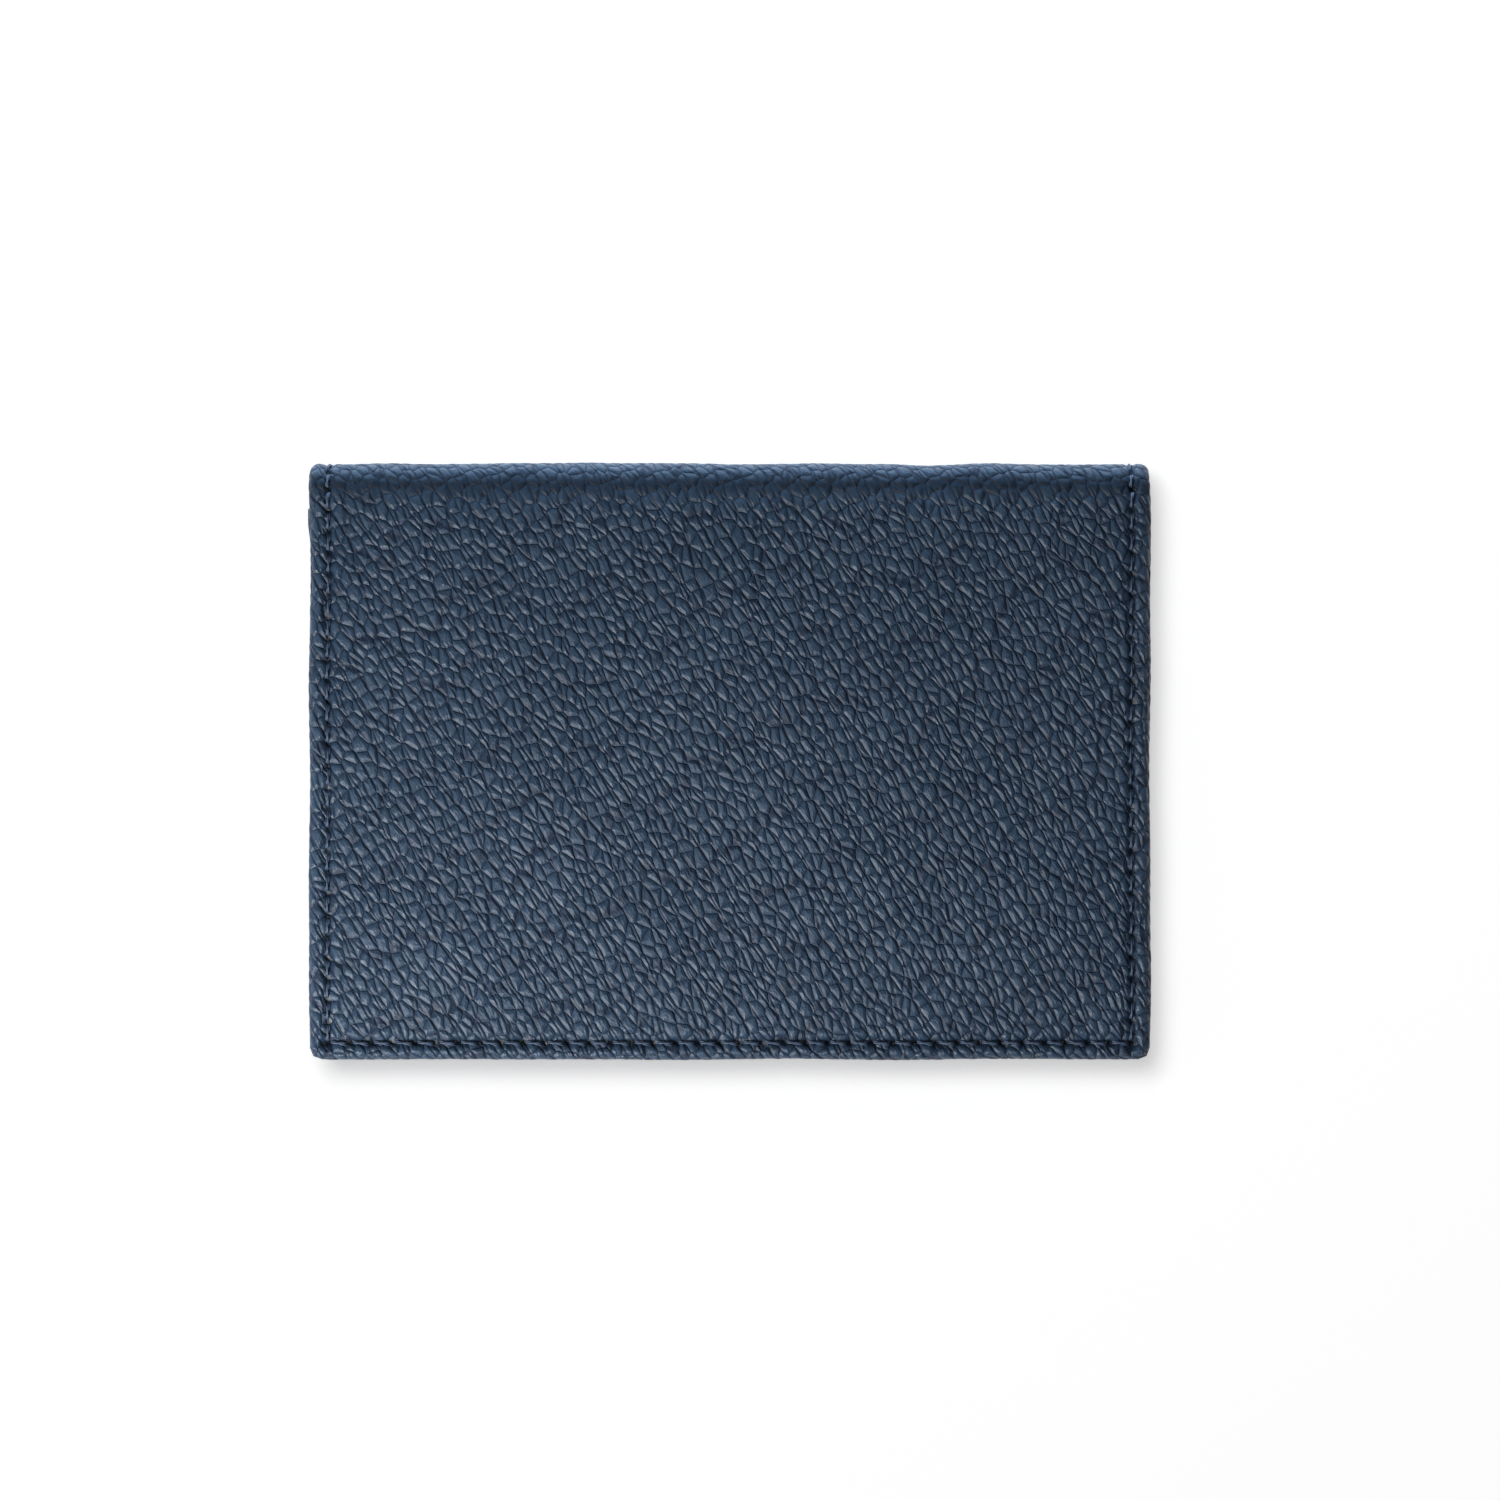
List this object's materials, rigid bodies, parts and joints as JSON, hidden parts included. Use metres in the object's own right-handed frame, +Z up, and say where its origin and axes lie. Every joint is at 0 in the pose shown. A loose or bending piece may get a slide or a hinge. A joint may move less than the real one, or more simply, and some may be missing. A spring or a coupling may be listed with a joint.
{
  "type": "folding card holder",
  "caption": "Folding leather card holder with a stitched pebble-grain cover, a gusseted card pocket and stepped card slots inside.",
  "frame": {"origin": "centre of the closed case's footprint, on the surface it lies on", "axes": "+X along the fold, +Y from the open edge towards the fold, +Z up through the front cover"},
  "size_m": [0.105, 0.0746, 0.0128],
  "materials": {
    "cover_leather": "navy pebble grain, semi-matt",
    "inner_leather": "navy fine grain, matt",
    "lining_fabric": "dark navy woven lining",
    "board": "plain greyboard",
    "thread": "navy waxed thread"
  },
  "bodies": {
    "back_half": {"cover_back_panel": "cover_leather", "back_board": "board", "back_lining": "lining_fabric", "gusset_bottom": "inner_leather", "gusset_left": "inner_leather", "gusset_right": "inner_leather", "back_seam_thread": "thread"},
    "spine": {"cover_fold_lower": "cover_leather", "cover_spine_panel": "cover_leather", "cover_fold_upper": "cover_leather", "spine_stiffener": "board", "spine_lining": "inner_leather", "spine_thread": "thread"},
    "front_half": {"cover_front_panel": "cover_leather", "front_board": "board", "front_lining": "lining_fabric", "slot_panel_upper": "inner_leather", "slot_panel_lower": "inner_leather", "front_seam_thread": "thread", "slot_mouth_thread": "thread"},
    "pocket": {"pocket_panel": "inner_leather", "pocket_liner": "lining_fabric", "pocket_seam_thread": "thread", "pocket_mouth_thread": "thread"}
  },
  "joints": [
    {"name": "fold_lower", "type": "hinge", "parent": "back_half", "child": "spine", "pos_m": [0, 0.03596, 0.00129], "axis": [-1, 0, 0], "range_deg": [0, 90], "deforming": ["cover_fold_lower", "spine_lining", "spine_thread"]},
    {"name": "fold_upper", "type": "hinge", "parent": "spine", "child": "front_half", "pos_m": [0, 0.03596, 0.01151], "axis": [-1, 0, 0], "range_deg": [0, 90], "deforming": ["cover_fold_upper", "spine_lining", "spine_thread"]},
    {"name": "pocket_open", "type": "hinge", "parent": "back_half", "child": "pocket", "pos_m": [0, -0.03515, 0.0072], "axis": [1, 0, 0], "range_deg": [0, 5], "deforming": ["gusset_bottom", "gusset_left", "gusset_right"]}
  ],
  "couplings": [
    {"joint": "fold_upper", "follows": "fold_lower", "ratio": 1},
    {"joint": "pocket_open", "follows": "fold_lower", "ratio": 0.0555}
  ]
}
